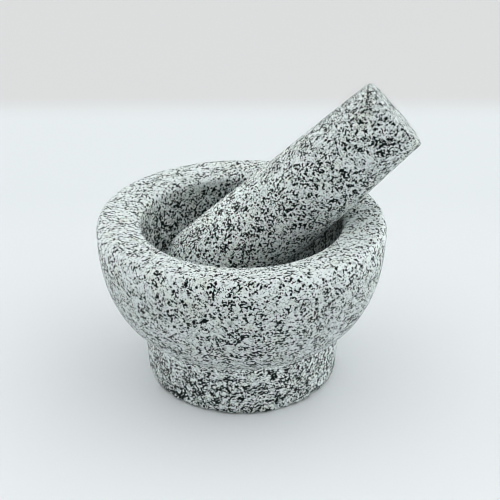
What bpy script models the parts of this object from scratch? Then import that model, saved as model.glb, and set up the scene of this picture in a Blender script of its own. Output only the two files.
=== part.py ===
"""A stone molcajete: a footed granite mortar, with its loose pestle leaning in the bowl.

Metres, +Z up. The origin is the centre of the foot's flat underside and +Z is the axis that
the mortar is turned on. The pestle leans towards +X, on the bowl's lip.
"""
import math

import bmesh
import bpy
from mathutils import Vector

# ---- Mortar: driving dimensions --------------------------------------------------------------
MORTAR_RADIUS = 0.0750          # the widest place, high on the bowl
MORTAR_HEIGHT = 0.0905
WIDEST_HEIGHT = 0.0837          # where the outside stands upright, just under the rim

FOOT_BASE_RADIUS = 0.0522
FOOT_TOP_RADIUS = 0.0533
FOOT_HEIGHT = 0.0291
FOOT_EDGE_ROUNDING = 0.0022     # worn edge round the underside
FOOT_NECK_ROUNDING = 0.0045     # soft hollow where the foot meets the bowl

BOWL_FLARE_ANGLE = math.radians(37.7)   # above the horizontal, where the bowl leaves the foot
BOWL_FLARE_REACH = 0.0297
BOWL_UPRIGHT_REACH = 0.0031

RIM_TOP_RADIUS = 0.0710         # the highest ring of the rim
LIP_RADIUS = 0.0521             # where the rim's slope turns down into the bowl
LIP_HEIGHT = 0.0857
BOWL_FLOOR_HEIGHT = 0.0215      # stone left under the deepest point of the bowl

# ---- Pestle: driving dimensions --------------------------------------------------------------
PESTLE_LENGTH = 0.1515
PESTLE_GRINDING_RADIUS = 0.0265
PESTLE_TOP_RADIUS = 0.0202
PESTLE_DOME_LENGTH = 0.0227     # height of the rounded grinding end
PESTLE_TOP_ROUNDING = 0.0022    # worn edge round the flat top

PESTLE_RISE = math.radians(43.5)                    # the pestle's slope above the horizontal
PESTLE_TIP = Vector((-0.0330, 0.0053, 0.0380))      # the middle of its rounded end, at rest

# ---- Mesh density ----------------------------------------------------------------------------
MORTAR_SIDES = 80
PESTLE_SIDES = 56
CORNER_STEPS = 4
BOWL_STEPS = 12
RIM_STEPS = 7
CAVITY_STEPS = 12
DOME_STEPS = 10
SHAFT_STEPS = 4
MERGE_DISTANCE = 0.00001
SHARP_ANGLE = math.radians(40)


def clear_scene():
    for obj in list(bpy.data.objects):
        bpy.data.objects.remove(obj, do_unlink=True)


# ---- Outlines: lists of (radius, height) -----------------------------------------------------
def cubic(start, start_handle, end_handle, end, steps):
    """Points on a cubic curve, without its first point."""
    points = []
    for step in range(1, steps + 1):
        t = step / steps
        s = 1.0 - t
        weights = (s ** 3, 3 * s * s * t, 3 * s * t * t, t ** 3)
        corners = (start, start_handle, end_handle, end)
        points.append(tuple(sum(w * c[i] for w, c in zip(weights, corners)) for i in (0, 1)))
    return points


def rounded_corner(before, corner, after, reach, steps):
    """A corner cut back by reach along both its sides and rounded between them."""
    corner = Vector(corner)
    start = corner + (Vector(before) - corner).normalized() * reach
    end = corner + (Vector(after) - corner).normalized() * reach
    handles = (start.lerp(corner, 2 / 3), end.lerp(corner, 2 / 3))
    return [tuple(start)] + cubic(start, handles[0], handles[1], end, steps)


def ellipse_arc(centre, radii, start_angle, end_angle, steps):
    """Points on an ellipse, without its first point. Angle 0 points away from the axis."""
    points = []
    for step in range(1, steps + 1):
        angle = start_angle + (end_angle - start_angle) * step / steps
        points.append((centre[0] + radii[0] * math.cos(angle),
                       centre[1] + radii[1] * math.sin(angle)))
    return points


def mortar_outline():
    """From the edge of the underside, up the outside, over the rim and down the bowl."""
    foot_base = (FOOT_BASE_RADIUS, 0.0)
    foot_top = (FOOT_TOP_RADIUS, FOOT_HEIGHT)
    flare = (FOOT_TOP_RADIUS + BOWL_FLARE_REACH * math.cos(BOWL_FLARE_ANGLE),
             FOOT_HEIGHT + BOWL_FLARE_REACH * math.sin(BOWL_FLARE_ANGLE))
    upright = (MORTAR_RADIUS, WIDEST_HEIGHT - BOWL_UPRIGHT_REACH)
    widest = (MORTAR_RADIUS, WIDEST_HEIGHT)

    outline = rounded_corner((0.0, 0.0), foot_base, foot_top, FOOT_EDGE_ROUNDING, CORNER_STEPS)
    neck = rounded_corner(foot_base, foot_top, flare, FOOT_NECK_ROUNDING, CORNER_STEPS)
    outline += neck
    # The curve of the bowl's outside starts at the end of the rounded neck.
    outline += cubic(neck[-1], flare, upright, widest, BOWL_STEPS)
    outline += ellipse_arc((RIM_TOP_RADIUS, WIDEST_HEIGHT),
                           (MORTAR_RADIUS - RIM_TOP_RADIUS, MORTAR_HEIGHT - WIDEST_HEIGHT),
                           0.0, math.pi / 2, RIM_STEPS)
    outline += ellipse_arc((RIM_TOP_RADIUS, LIP_HEIGHT),
                           (RIM_TOP_RADIUS - LIP_RADIUS, MORTAR_HEIGHT - LIP_HEIGHT),
                           math.pi / 2, math.pi, RIM_STEPS)
    outline += ellipse_arc((0.0, LIP_HEIGHT), (LIP_RADIUS, LIP_HEIGHT - BOWL_FLOOR_HEIGHT),
                           0.0, -math.pi / 2, CAVITY_STEPS)
    return outline


def pestle_outline():
    """From the edge of the flat top, down the tapered shaft and round the grinding end."""
    top_edge = (PESTLE_TOP_RADIUS, PESTLE_LENGTH)
    shaft_end = (PESTLE_GRINDING_RADIUS, PESTLE_DOME_LENGTH)
    outline = rounded_corner((0.0, PESTLE_LENGTH), top_edge, shaft_end,
                             PESTLE_TOP_ROUNDING, CORNER_STEPS)
    first = Vector(outline[-1])
    for step in range(1, SHAFT_STEPS + 1):
        outline.append(tuple(first.lerp(Vector(shaft_end), step / SHAFT_STEPS)))
    outline += ellipse_arc((0.0, PESTLE_DOME_LENGTH),
                           (PESTLE_GRINDING_RADIUS, PESTLE_DOME_LENGTH),
                           0.0, -math.pi / 2, DOME_STEPS)
    return outline


# ---- Solids ----------------------------------------------------------------------------------
def turned_solid(name, outline, sides, material):
    """Spin an outline round Z. Its last point lies on the axis, its first rings a flat face."""
    solid = bmesh.new()
    points = [solid.verts.new((radius, 0.0, height)) for radius, height in outline]
    edges = [solid.edges.new(pair) for pair in zip(points, points[1:])]
    bmesh.ops.spin(solid, geom=points + edges, cent=(0, 0, 0), axis=(0, 0, 1),
                   angle=2 * math.pi, steps=sides, use_merge=True)
    bmesh.ops.remove_doubles(solid, verts=solid.verts, dist=MERGE_DISTANCE)
    flat_edges = [edge for edge in solid.edges if edge.is_boundary]
    bmesh.ops.contextual_create(solid, geom=flat_edges)
    bmesh.ops.recalc_face_normals(solid, faces=solid.faces)

    mesh = bpy.data.meshes.new(name)
    solid.to_mesh(mesh)
    solid.free()
    mesh.shade_smooth()
    mesh.set_sharp_from_angle(angle=SHARP_ANGLE)
    mesh.materials.append(material)
    obj = bpy.data.objects.new(name, mesh)
    bpy.context.scene.collection.objects.link(obj)
    return obj


def stone(name, color, roughness):
    material = bpy.data.materials.new(name)
    material.use_nodes = True
    shader = material.node_tree.nodes["Principled BSDF"]
    shader.inputs["Base Color"].default_value = (*color, 1.0)
    shader.inputs["Roughness"].default_value = roughness
    shader.inputs["Metallic"].default_value = 0.0
    return material


def build_mortar():
    granite = stone("mortar_granite", (0.47, 0.49, 0.48), 0.72)
    return turned_solid("mortar", mortar_outline(), MORTAR_SIDES, granite)


def build_pestle():
    granite = stone("pestle_granite", (0.45, 0.47, 0.46), 0.66)
    pestle = turned_solid("pestle", pestle_outline(), PESTLE_SIDES, granite)
    pestle.location = PESTLE_TIP
    pestle.rotation_euler = (0.0, math.pi / 2 - PESTLE_RISE, 0.0)
    return pestle


clear_scene()
build_mortar()
build_pestle()
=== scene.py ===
"""The looks of a granite molcajete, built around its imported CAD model.

Both stones are turned again at a fine mesh, worn and chipped in their geometry, and given a procedural
granite. Metres, +Z up, in the CAD's own frame: the origin is the centre of the foot's underside.
"""
import math

import bmesh
import bpy
import numpy as np
from mathutils import Matrix, Vector, noise


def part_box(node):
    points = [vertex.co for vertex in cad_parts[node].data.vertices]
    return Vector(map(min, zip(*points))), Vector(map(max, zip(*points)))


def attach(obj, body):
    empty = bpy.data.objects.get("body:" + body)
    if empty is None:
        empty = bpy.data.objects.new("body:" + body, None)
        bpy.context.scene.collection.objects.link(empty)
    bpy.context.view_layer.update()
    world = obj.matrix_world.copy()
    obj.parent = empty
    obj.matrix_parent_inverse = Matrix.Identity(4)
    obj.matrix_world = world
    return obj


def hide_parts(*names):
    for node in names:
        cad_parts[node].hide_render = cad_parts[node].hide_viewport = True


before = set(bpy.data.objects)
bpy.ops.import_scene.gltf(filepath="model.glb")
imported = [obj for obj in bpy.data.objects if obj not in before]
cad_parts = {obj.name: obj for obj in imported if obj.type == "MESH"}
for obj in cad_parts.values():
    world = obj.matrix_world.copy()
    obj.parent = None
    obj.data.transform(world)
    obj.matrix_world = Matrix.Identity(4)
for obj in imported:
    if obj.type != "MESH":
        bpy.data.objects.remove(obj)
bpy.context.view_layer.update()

MM = 0.001

MORTAR_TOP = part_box("mortar")[1].z

# ---- The turned shapes, as the CAD has them (mm) ---------------------------------------------
MORTAR_RADIUS = 75.0
MORTAR_HEIGHT = MORTAR_TOP / MM
WIDEST_HEIGHT = 83.7
FOOT_BASE_RADIUS = 52.2
FOOT_TOP_RADIUS = 53.3
FOOT_HEIGHT = 29.1
FOOT_EDGE_ROUNDING = 2.2
FOOT_NECK_ROUNDING = 4.5
BOWL_FLARE_ANGLE = math.radians(37.7)
BOWL_FLARE_REACH = 29.7
BOWL_UPRIGHT_REACH = 3.1
RIM_TOP_RADIUS = 71.0
LIP_RADIUS = 52.1
LIP_HEIGHT = 85.7
BOWL_FLOOR_HEIGHT = 21.5

PESTLE_LENGTH = 151.5
PESTLE_GRINDING_RADIUS = 26.5
PESTLE_TOP_RADIUS = 20.2
PESTLE_DOME_LENGTH = 22.7
PESTLE_TOP_ROUNDING = 2.4
PESTLE_RISE = math.radians(43.5)
PESTLE_TIP = Vector((-33.0, 5.3, 38.0))

# Steps on each curve of an outline, and then the spacing of the rings (mm) and the sides of each.
CORNER_STEPS = 12
BELLY_STEPS = 48
RIM_STEPS = 24
LIP_STEPS = 32
BOWL_STEPS = 64
DOME_STEPS = 48
MORTAR_SPACING, MORTAR_SIDES = 1.05, 360
PESTLE_SPACING, PESTLE_SIDES = 0.72, 232

# ---- Wear (mm) -------------------------------------------------------------------------------
# Bumps: depth, size and the place in the noise. Chips: reach, depth and size.
MORTAR_BUMPS = ((0.30, 28.0, (0, 0, 0)), (0.15, 3.2, (7, 3, 1)))
MORTAR_CHIPS = ((4.5, 1.1, 4.2), (3.0, 0.5, 1.9))
PESTLE_BUMPS = ((0.25, 24.0, (31, 5, 9)), (0.09, 2.6, (2, 13, 4)))
PESTLE_CHIPS = ((4.0, 0.5, 2.4),)
CHIP_PLACE = Vector((3, 17, 5))
CHIP_START = 0.05                       # the noise value where a chip starts
CHIP_RISE = 0.45                        # how much more noise takes it to its full depth
# The underside stays flat enough to stand on.
UNDERSIDE_HEIGHT = 0.5
UNDERSIDE_RADIUS = FOOT_BASE_RADIUS - 4.0
UNDERSIDE_WEAR = 0.25

# ---- Granite (scales are per metre, and lengths are in metres) -------------------------------
RAGGED_SCALE = 1300.0
RAGGED_SHIFT = 0.0010
CLUSTER_SCALE = 210.0
CLUSTER_RANGE = (0.28, 0.73)
CLUSTER_GAIN = 2.0
FLECK_TURN = (0.6, 0.5, 0.8)            # oblique, so that no layer of flecks lines up with the shape
FLECK_LAYERS = ((1210.0, (1.0, 1.65, 1.0)), (1290.0, (1.65, 1.0, 1.0)), (1140.0, (1.0, 1.0, 1.65)))
GREY_SCALE, GREY_STRETCH, GREY_TURN = 1700.0, (1.0, 1.5, 1.0), (0.9, 1.6, 0.2)
GREY_PER_BLACK = 2.8
QUARTZ_SCALE = 560.0
QUARTZ_RANGE = (0.0, 0.30)
SPECK_SCALE = 1500.0
TINT_SCALE = 75.0
TINT_RANGE = (0.35, 0.65)
STAIN_RANGE = (0.56, 0.72)
PIT_SCALE = 1400.0

GREENISH_WHITE = (0.77, 0.83, 0.81, 1)
BLUISH_WHITE = (0.785, 0.82, 0.83, 1)
STAIN = (0.765, 0.80, 0.74, 1)
DARK_QUARTZ = (0.36, 0.41, 0.40, 1)
PALE_QUARTZ = (0.80, 0.87, 0.86, 1)
SPECK = (0.40, 0.44, 0.43, 1)
GREY_MICA = (0.16, 0.20, 0.19, 1)
BLACK_MICA = (0.003, 0.007, 0.007, 1)
QUARTZ_MIX, SPECK_MIX, GREY_MIX = 0.36, 0.15, 0.50

STONE_ROUGHNESS, MICA_ROUGHNESS = 0.70, 0.55
STONE_SPECULAR = 0.12
MICA_SINK = 0.5                         # how deep flecks lie, as a share of the deepest pits
BUMP_STRENGTH, BUMP_DISTANCE = 0.35, 0.0002

# Each stone has its own place in the pattern, and its own fineness of black flecks.
MORTAR_OFFSET, MORTAR_FINENESS = (0.0, 0.0, 0.0), 1.04
PESTLE_OFFSET, PESTLE_FINENESS = (0.37, 0.19, 0.53), 1.12

# The mortar's share of black flecks, and its tones of painted light and shade, on the belly, foot, rim
# and in the bowl.
MORTAR_SHARES = (0.104, 0.148, 0.080, 0.168)
MORTAR_PAINTED_LIGHT_TONES = (0.86, 1.11, 0.97, 0.92)
FOOT_BLEND = (0.036, 0.026)             # heights between which the belly turns into the foot
RIM_BLEND = (0.076, 0.087)
BOWL_RADIUS_BLEND = (0.0535, 0.0520)
BOWL_HEIGHT_BLEND = (0.087, 0.080)

PESTLE_SHARE = 0.101
PESTLE_SHARE_RANGE = 0.04
PESTLE_SHARE_SCALE = 60.0
PESTLE_TONE = 0.95
# Painted light: this much paler at the grinding end, down in the bowl.
PESTLE_LOW_PAINTED_LIGHT = 0.18                  # added at the grinding end
PESTLE_PAINTED_LIGHT_BLEND = (0.025, -0.015)     # along X

# ---- Camera ----------------------------------------------------------------------------------
CAMERA_DISTANCE = 0.4195
CAMERA_HEIGHT = 0.2910
CAMERA_PITCH = math.radians(27.96)      # below the horizon
CAMERA_YAW = math.radians(-0.586)
CAMERA_CLIP_START = 0.01
SENSOR_WIDTH = 36.0
FOCAL_LENGTH = 64.73

# ---- Stage and light -------------------------------------------------------------------------
FLOOR_SIZE = 8.0
# Painted shade: the floor darkens from Y = 0 towards the back, standing in for the light's falloff.
FAR_FLOOR_SHADE_START = 0.22                  # where the floor has its far colour, blended in from Y = 0
WALL_BLEND = (0.39, 0.47)               # where the pale floor turns into the plain backdrop
FLOOR_COLOR = (0.785, 0.805, 0.82, 1)
FAR_FLOOR_SHADE_COLOR = (0.71, 0.74, 0.755, 1)
WALL_COLOR = (0.642, 0.64, 0.642, 1)
FLOOR_ROUGHNESS = 0.7
# The soft surround: its level all round, and how much brighter it is towards each side.
SKY_COLOR = (0.985, 1.0, 1.0, 1)
SKY_LEVEL = 0.12
SKY_SIDES = (((0, 0, 1), 0.46), ((0, 1, 0), 0.80), ((1, 0, 0), 2.28), ((-1, 0, 0), 1.87))
SKY_FALLOFF = 1.6
OVERHEAD_PLACE = Vector((0.05, 0.15, 1.1))
OVERHEAD_SIZE = 0.8
OVERHEAD_ENERGY = 0.5
VIEW_GAMMA = 0.88
PIXEL_FILTER_WIDTH = 0.75


def make_camera():
    data = bpy.data.cameras.new("camera")
    data.sensor_width = SENSOR_WIDTH
    data.lens = FOCAL_LENGTH
    data.clip_start = CAMERA_CLIP_START
    camera = bpy.data.objects.new("camera", data)
    camera.location = (0.0, -CAMERA_DISTANCE, CAMERA_HEIGHT)
    camera.rotation_euler = (math.pi / 2 - CAMERA_PITCH, 0.0, CAMERA_YAW)
    bpy.context.scene.collection.objects.link(camera)
    bpy.context.scene.camera = camera


# ---- Outlines --------------------------------------------------------------------------------
def cubic(start, start_handle, end_handle, end, steps):
    """Points on a cubic curve, without its first point."""
    points = []
    for step in range(1, steps + 1):
        t = step / steps
        s = 1.0 - t
        weights = (s ** 3, 3 * s * s * t, 3 * s * t * t, t ** 3)
        corners = (start, start_handle, end_handle, end)
        points.append(tuple(sum(w * c[i] for w, c in zip(weights, corners)) for i in (0, 1)))
    return points


def rounded_corner(before, corner, after, reach):
    """Points round a corner, from this reach before it to the same reach after it."""
    corner = Vector(corner)
    start = corner + (Vector(before) - corner).normalized() * reach
    end = corner + (Vector(after) - corner).normalized() * reach
    handles = (start.lerp(corner, 2 / 3), end.lerp(corner, 2 / 3))
    return [tuple(start)] + cubic(start, handles[0], handles[1], end, CORNER_STEPS)


def ellipse_arc(centre, radii, start_angle, end_angle, steps):
    """Points on an ellipse, without its first point. Angle 0 points away from the axis."""
    points = []
    for step in range(1, steps + 1):
        angle = start_angle + (end_angle - start_angle) * step / steps
        points.append((centre[0] + radii[0] * math.cos(angle),
                       centre[1] + radii[1] * math.sin(angle)))
    return points


def mortar_outline():
    """From the centre of the underside, up the outside, over the rim and down the bowl."""
    foot_base = (FOOT_BASE_RADIUS, 0.0)
    foot_top = (FOOT_TOP_RADIUS, FOOT_HEIGHT)
    flare = (FOOT_TOP_RADIUS + BOWL_FLARE_REACH * math.cos(BOWL_FLARE_ANGLE),
             FOOT_HEIGHT + BOWL_FLARE_REACH * math.sin(BOWL_FLARE_ANGLE))
    upright = (MORTAR_RADIUS, WIDEST_HEIGHT - BOWL_UPRIGHT_REACH)
    widest = (MORTAR_RADIUS, WIDEST_HEIGHT)
    outline = [(0.0, 0.0)]
    outline += rounded_corner((0.0, 0.0), foot_base, foot_top, FOOT_EDGE_ROUNDING)
    neck = rounded_corner(foot_base, foot_top, flare, FOOT_NECK_ROUNDING)
    outline += neck
    outline += cubic(neck[-1], flare, upright, widest, BELLY_STEPS)
    outline += ellipse_arc((RIM_TOP_RADIUS, WIDEST_HEIGHT),
                           (MORTAR_RADIUS - RIM_TOP_RADIUS, MORTAR_HEIGHT - WIDEST_HEIGHT),
                           0.0, math.pi / 2, RIM_STEPS)
    outline += ellipse_arc((RIM_TOP_RADIUS, LIP_HEIGHT),
                           (RIM_TOP_RADIUS - LIP_RADIUS, MORTAR_HEIGHT - LIP_HEIGHT),
                           math.pi / 2, math.pi, LIP_STEPS)
    outline += ellipse_arc((0.0, LIP_HEIGHT), (LIP_RADIUS, LIP_HEIGHT - BOWL_FLOOR_HEIGHT),
                           0.0, -math.pi / 2, BOWL_STEPS)
    return outline


def pestle_outline():
    """From the centre of the flat top, down the tapered shaft and round the grinding end."""
    top_edge = (PESTLE_TOP_RADIUS, PESTLE_LENGTH)
    shaft_end = (PESTLE_GRINDING_RADIUS, PESTLE_DOME_LENGTH)
    outline = [(0.0, PESTLE_LENGTH)]
    outline += rounded_corner((0.0, PESTLE_LENGTH), top_edge, shaft_end, PESTLE_TOP_ROUNDING)
    outline.append(shaft_end)
    outline += ellipse_arc((0.0, PESTLE_DOME_LENGTH),
                           (PESTLE_GRINDING_RADIUS, PESTLE_DOME_LENGTH),
                           0.0, -math.pi / 2, DOME_STEPS)
    return outline


def even_outline(outline, spacing):
    """The same outline with its points at even distances, as (radius, height) rows."""
    points = np.array(outline)
    lengths = np.hypot(*np.diff(points, axis=0).T)
    along = np.concatenate([[0.0], np.cumsum(lengths)])
    count = max(2, int(round(along[-1] / spacing)))
    steps = np.linspace(0.0, along[-1], count + 1)
    return np.column_stack([np.interp(steps, along, points[:, i]) for i in (0, 1)])


# ---- Stone surfaces --------------------------------------------------------------------------
def turned_grid(outline, sides):
    """Vertices and faces of an outline turned round Z, with a single vertex at each pole."""
    rings = outline[1:-1]
    angles = np.linspace(0.0, 2 * math.pi, sides, endpoint=False)
    radius, height = rings[:, 0][:, None], rings[:, 1][:, None]
    body = np.stack([radius * np.cos(angles), radius * np.sin(angles),
                     np.broadcast_to(height, (len(rings), sides))], axis=-1).reshape(-1, 3)
    first = (0.0, 0.0, outline[0][1])
    last = (0.0, 0.0, outline[-1][1])
    verts = np.vstack([[first], body, [last]])
    faces = []
    for side in range(sides):
        after = (side + 1) % sides
        faces.append((0, 1 + side, 1 + after))
        for ring in range(len(rings) - 1):
            low, high = 1 + ring * sides, 1 + (ring + 1) * sides
            faces.append((low + side, high + side, high + after, low + after))
        end = 1 + (len(rings) - 1) * sides
        faces.append((end + after, end + side, len(verts) - 1))
    return verts, faces


def stone_mesh(name, outline, spacing, sides):
    """A closed, smooth-shaded mesh of an outline in mm, turned round Z."""
    verts, faces = turned_grid(even_outline(outline, spacing), sides)
    mesh = bpy.data.meshes.new(name)
    mesh.from_pydata([tuple(v) for v in verts * MM], [], faces)
    clean = bmesh.new()
    clean.from_mesh(mesh)
    bmesh.ops.recalc_face_normals(clean, faces=clean.faces)
    clean.to_mesh(mesh)
    clean.free()
    mesh.shade_smooth()
    obj = bpy.data.objects.new(name, mesh)
    bpy.context.scene.collection.objects.link(obj)
    return obj


def vertex_values(obj, attribute):
    """The x, y and z of each vertex's co or normal, as rows."""
    values = np.empty(len(obj.data.vertices) * 3, np.float32)
    obj.data.vertices.foreach_get(attribute, values)
    return values.reshape(-1, 3)


def wear(obj, depth_at):
    """Move each vertex inwards along its normal by depth_at(point in mm), in mm."""
    normals = vertex_values(obj, "normal")
    coords = vertex_values(obj, "co")
    depths = np.array([depth_at(Vector(point / MM)) for point in coords])
    coords -= normals * depths[:, None] * MM
    obj.data.vertices.foreach_set("co", coords.ravel())
    obj.data.update()


def bumps(point, layers):
    """Smooth hollows between 0 and the layers' depths."""
    total = 0.0
    for depth, size, place in layers:
        total += depth * (0.5 + 0.5 * noise.noise(point / size + Vector(place)))
    return total


def chips(point, edge, layers):
    """Small chips along the edge ring at (radius, height): deepest on it, gone at their reach."""
    away = math.hypot(math.hypot(point.x, point.y) - edge[0], point.z - edge[1])
    total = 0.0
    for reach, depth, size in layers:
        if away < reach:
            broken = max(0.0, noise.noise(point / size + CHIP_PLACE) - CHIP_START)
            total += depth * (1.0 - away / reach) * min(1.0, broken / CHIP_RISE)
    return total


def mortar_wear(point):
    depth = bumps(point, MORTAR_BUMPS)
    if point.z < UNDERSIDE_HEIGHT and math.hypot(point.x, point.y) < UNDERSIDE_RADIUS:
        return UNDERSIDE_WEAR * depth
    return depth + chips(point, (FOOT_BASE_RADIUS, 0.0), MORTAR_CHIPS)


def pestle_wear(point):
    top_edge = (PESTLE_TOP_RADIUS, PESTLE_LENGTH)
    return bumps(point, PESTLE_BUMPS) + chips(point, top_edge, PESTLE_CHIPS)


# ---- Granite ---------------------------------------------------------------------------------
class Nodes:
    """A small helper that adds and links shader nodes."""

    def __init__(self, tree):
        self.tree = tree

    def add(self, kind, inputs=None, **settings):
        node = self.tree.nodes.new(kind)
        for key, value in settings.items():
            setattr(node, key, value)
        for key, value in (inputs or {}).items():
            if isinstance(value, bpy.types.NodeSocket):
                self.tree.links.new(value, node.inputs[key])
            else:
                node.inputs[key].default_value = value
        return node

    def math(self, operation, a, b):
        return self.add("ShaderNodeMath", {0: a, 1: b}, operation=operation).outputs[0]

    def scaled_sum(self, value, factor, start):
        """start + value * factor."""
        return self.math("ADD", self.math("MULTIPLY", value, factor), start)

    def noise(self, vector, scale, detail=2.0, roughness=0.5):
        return self.add("ShaderNodeTexNoise", {"Vector": vector, "Scale": scale,
                                               "Detail": detail, "Roughness": roughness})

    def cell_ids(self, vector, scale):
        """Three values between 0 and 1 that are constant within each grain."""
        cells = self.add("ShaderNodeTexVoronoi", {"Vector": vector, "Scale": scale})
        return self.add("ShaderNodeSeparateColor", {0: cells.outputs["Color"]}).outputs

    def ramp(self, factor, ends):
        """0 at the first end, 1 at the second and a straight line between them."""
        low, high = ends
        node = self.add("ShaderNodeMapRange", {"Value": factor, "From Min": low, "From Max": high},
                        clamp=True)
        return node.outputs["Result"]

    def mix(self, factor, a, b):
        return self.add("ShaderNodeMix", {0: factor, 6: a, 7: b}, data_type="RGBA").outputs[2]

    def vector(self, operation, a, b):
        return self.add("ShaderNodeVectorMath", {0: a, 1: b}, operation=operation).outputs[0]

    def scaled(self, vector, factor):
        node = self.add("ShaderNodeVectorMath", {0: vector, "Scale": factor}, operation="SCALE")
        return node.outputs[0]


def mica(n, place, scale, stretch, turn, share):
    """1 inside ragged flecks that cover this share of the stone, stretched along one direction."""
    at = n.add("ShaderNodeMapping", {"Vector": place, "Rotation": turn, "Scale": stretch},
               vector_type="TEXTURE")
    return n.math("LESS_THAN", n.cell_ids(at.outputs[0], scale)[0], share)


def granite_color(n, place, grain_place, dark, density, painted_light_tone):
    """White stone, faintly stained, with glassy quartz, grey specks, and grey and black mica."""
    tint = n.add("ShaderNodeSeparateColor", {0: n.noise(place, TINT_SCALE).outputs["Color"]})
    white = n.mix(n.ramp(tint.outputs[0], TINT_RANGE), GREENISH_WHITE, BLUISH_WHITE)
    white = n.mix(n.ramp(tint.outputs[1], STAIN_RANGE), white, STAIN)
    glassy = n.cell_ids(grain_place, QUARTZ_SCALE)[1]
    quartz = n.mix(n.ramp(glassy, QUARTZ_RANGE), DARK_QUARTZ, PALE_QUARTZ)
    base = n.mix(QUARTZ_MIX, white, quartz)
    specks = n.cell_ids(grain_place, SPECK_SCALE)[2]
    base = n.mix(n.math("MULTIPLY", specks, SPECK_MIX), base, SPECK)
    grey = mica(n, grain_place, GREY_SCALE, GREY_STRETCH, GREY_TURN,
                n.math("MULTIPLY", density, GREY_PER_BLACK))
    base = n.mix(n.math("MULTIPLY", grey, GREY_MIX), base, GREY_MICA)
    # The zone tones paint light and shade onto the stone's colour.
    return n.mix(dark, n.scaled(base, painted_light_tone), BLACK_MICA)


def granite(name, offset, zones_at, fineness):
    """Light granite: white and grey grains with ragged black flecks in between."""
    material = bpy.data.materials.new(name)
    material.use_nodes = True
    tree = material.node_tree
    shader = tree.nodes["Principled BSDF"]
    n = Nodes(tree)

    place = n.add("ShaderNodeTexCoord").outputs["Object"]
    # The zones give the fleck share and the tones of painted light and shade.
    density, painted_light_tone = zones_at(n, place)
    place = n.vector("ADD", place, offset)

    # Ragged mineral edges: the grains are looked up at a place shifted by fine noise.
    ragged = n.noise(place, RAGGED_SCALE, roughness=0.6).outputs["Color"]
    shift = n.scaled(n.vector("SUBTRACT", ragged, (0.5, 0.5, 0.5)), RAGGED_SHIFT)
    grain_place = n.vector("ADD", place, shift)

    # Black mica flecks gather in clusters. Three layers, stretched at right angles, make them.
    clusters = n.ramp(n.noise(place, CLUSTER_SCALE).outputs["Fac"], CLUSTER_RANGE)
    share = n.math("MULTIPLY", density, n.math("MULTIPLY", clusters, CLUSTER_GAIN))
    layers = [mica(n, grain_place, scale * fineness, stretch, FLECK_TURN, share)
              for scale, stretch in FLECK_LAYERS]
    dark = layers[0]
    for layer in layers[1:]:
        dark = n.math("MAXIMUM", dark, layer)

    color = granite_color(n, place, grain_place, dark, density, painted_light_tone)
    tree.links.new(color, shader.inputs["Base Color"])

    rough = n.add("ShaderNodeMapRange", {"Value": dark, "To Min": STONE_ROUGHNESS,
                                         "To Max": MICA_ROUGHNESS})
    tree.links.new(rough.outputs["Result"], shader.inputs["Roughness"])
    shader.inputs["Specular IOR Level"].default_value = STONE_SPECULAR

    pits = n.noise(place, PIT_SCALE, 3.0, 0.65).outputs["Fac"]
    relief = n.math("SUBTRACT", pits, n.math("MULTIPLY", dark, MICA_SINK))
    bump = n.add("ShaderNodeBump", {"Height": relief, "Strength": BUMP_STRENGTH,
                                    "Distance": BUMP_DISTANCE})
    tree.links.new(bump.outputs["Normal"], shader.inputs["Normal"])
    return material


def mortar_zones(n, place):
    """Fleck share and painted light: more flecks on foot and bowl, fewer on the rim; painted shade on
    belly and bowl, light on the foot.
    """
    along = n.add("ShaderNodeSeparateXYZ", {0: place}).outputs
    out = n.add("ShaderNodeCombineXYZ", {"X": along["X"], "Y": along["Y"]}).outputs[0]
    radius = n.add("ShaderNodeVectorMath", {0: out}, operation="LENGTH").outputs["Value"]
    foot = n.ramp(along["Z"], FOOT_BLEND)
    rim = n.ramp(along["Z"], RIM_BLEND)
    bowl = n.math("MULTIPLY", n.ramp(radius, BOWL_RADIUS_BLEND),
                  n.ramp(along["Z"], BOWL_HEIGHT_BLEND))
    result = []
    # The tones are painted light and shade: a darker belly and bowl, and a paler foot.
    for on_belly, on_foot, on_rim, in_bowl in (MORTAR_SHARES, MORTAR_PAINTED_LIGHT_TONES):
        value = n.scaled_sum(foot, on_foot - on_belly, on_belly)
        value = n.scaled_sum(rim, on_rim - on_belly, value)
        result.append(n.add("ShaderNodeMix", {0: bowl, 2: value, 3: in_bowl}).outputs[0])
    return result


def pestle_zones(n, place):
    """Fleck share and brightness: painted light makes the grinding end, down in the bowl, paler than
    the handle.
    """
    patches = n.noise(place, PESTLE_SHARE_SCALE, 1.0).outputs["Fac"]
    share = n.scaled_sum(patches, PESTLE_SHARE_RANGE, PESTLE_SHARE)
    across = n.add("ShaderNodeSeparateXYZ", {0: place}).outputs["X"]
    # Painted light: paler towards the grinding end, down in the bowl.
    return share, n.scaled_sum(n.ramp(across, PESTLE_PAINTED_LIGHT_BLEND), PESTLE_LOW_PAINTED_LIGHT, PESTLE_TONE)


def build_mortar():
    obj = stone_mesh("mortar_stone", mortar_outline(), MORTAR_SPACING, MORTAR_SIDES)
    wear(obj, mortar_wear)
    obj.data.materials.append(granite("granite_mortar", MORTAR_OFFSET, mortar_zones,
                                      MORTAR_FINENESS))
    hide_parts("mortar")
    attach(obj, "mortar")


def build_pestle():
    obj = stone_mesh("pestle_stone", pestle_outline(), PESTLE_SPACING, PESTLE_SIDES)
    wear(obj, pestle_wear)
    lean = Matrix.Rotation(math.pi / 2 - PESTLE_RISE, 4, "Y")
    obj.data.transform(Matrix.Translation(PESTLE_TIP * MM) @ lean)
    obj.data.materials.append(granite("granite_pestle", PESTLE_OFFSET, pestle_zones,
                                      PESTLE_FINENESS))
    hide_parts("pestle")
    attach(obj, "pestle")


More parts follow.
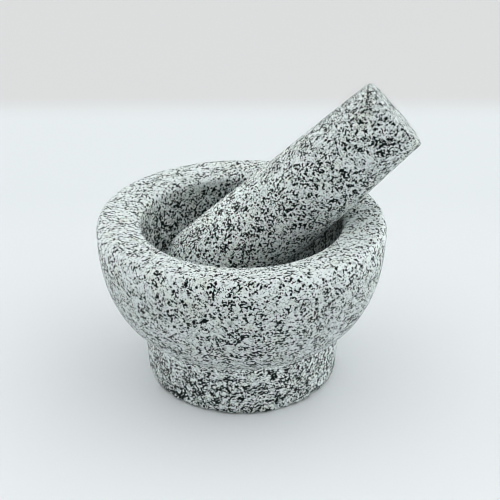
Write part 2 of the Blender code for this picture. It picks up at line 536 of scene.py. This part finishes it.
# ---- Stage and light -------------------------------------------------------------------------
def make_floor():
    bpy.ops.mesh.primitive_plane_add(size=FLOOR_SIZE)
    floor = bpy.context.object
    floor.name = "floor"
    material = bpy.data.materials.new("pale_floor")
    material.use_nodes = True
    tree = material.node_tree
    n = Nodes(tree)
    place = n.add("ShaderNodeTexCoord").outputs["Object"]
    along = n.add("ShaderNodeSeparateXYZ", {0: place}).outputs["Y"]
    far = n.add("ShaderNodeMapRange", {"Value": along, "From Min": WALL_BLEND[0],
                                       "From Max": WALL_BLEND[1]},
                interpolation_type="SMOOTHSTEP")
    # Painted shade: the floor darkens towards the back, for the light's falloff.
    color = n.mix(n.ramp(along, (0.0, FAR_FLOOR_SHADE_START)), FLOOR_COLOR, FAR_FLOOR_SHADE_COLOR)
    color = n.mix(far.outputs["Result"], color, WALL_COLOR)
    shader = tree.nodes["Principled BSDF"]
    tree.links.new(color, shader.inputs["Base Color"])
    shader.inputs["Roughness"].default_value = FLOOR_ROUGHNESS
    floor.data.materials.append(material)


def make_overhead():
    """A wide soft disk of light above the stones, aimed at the foot."""
    data = bpy.data.lights.new("overhead", "AREA")
    data.shape = "DISK"
    data.size = OVERHEAD_SIZE
    data.energy = OVERHEAD_ENERGY
    light = bpy.data.objects.new("overhead", data)
    light.location = OVERHEAD_PLACE
    light.rotation_euler = (-OVERHEAD_PLACE).to_track_quat("-Z", "Y").to_euler()
    bpy.context.scene.collection.objects.link(light)


def make_surround():
    """A pale surround with a soft lobe of brighter light on each side."""
    world = bpy.data.worlds.new("world")
    bpy.context.scene.world = world
    world.use_nodes = True
    n = Nodes(world.node_tree)
    background = world.node_tree.nodes["Background"]
    background.inputs["Color"].default_value = SKY_COLOR
    toward = n.add("ShaderNodeTexCoord").outputs["Generated"]
    strength = SKY_LEVEL
    for direction, gain in SKY_SIDES:
        facing = n.add("ShaderNodeVectorMath", {0: toward, 1: direction}, operation="DOT_PRODUCT")
        facing = n.math("MAXIMUM", facing.outputs["Value"], 0.0)
        strength = n.scaled_sum(n.math("POWER", facing, SKY_FALLOFF), gain, strength)
    world.node_tree.links.new(strength, background.inputs["Strength"])


def set_view():
    scene = bpy.context.scene
    scene.view_settings.view_transform = "Standard"
    scene.view_settings.gamma = VIEW_GAMMA
    scene.cycles.filter_width = PIXEL_FILTER_WIDTH


make_camera()
build_mortar()
build_pestle()
make_floor()
make_surround()
make_overhead()
set_view()
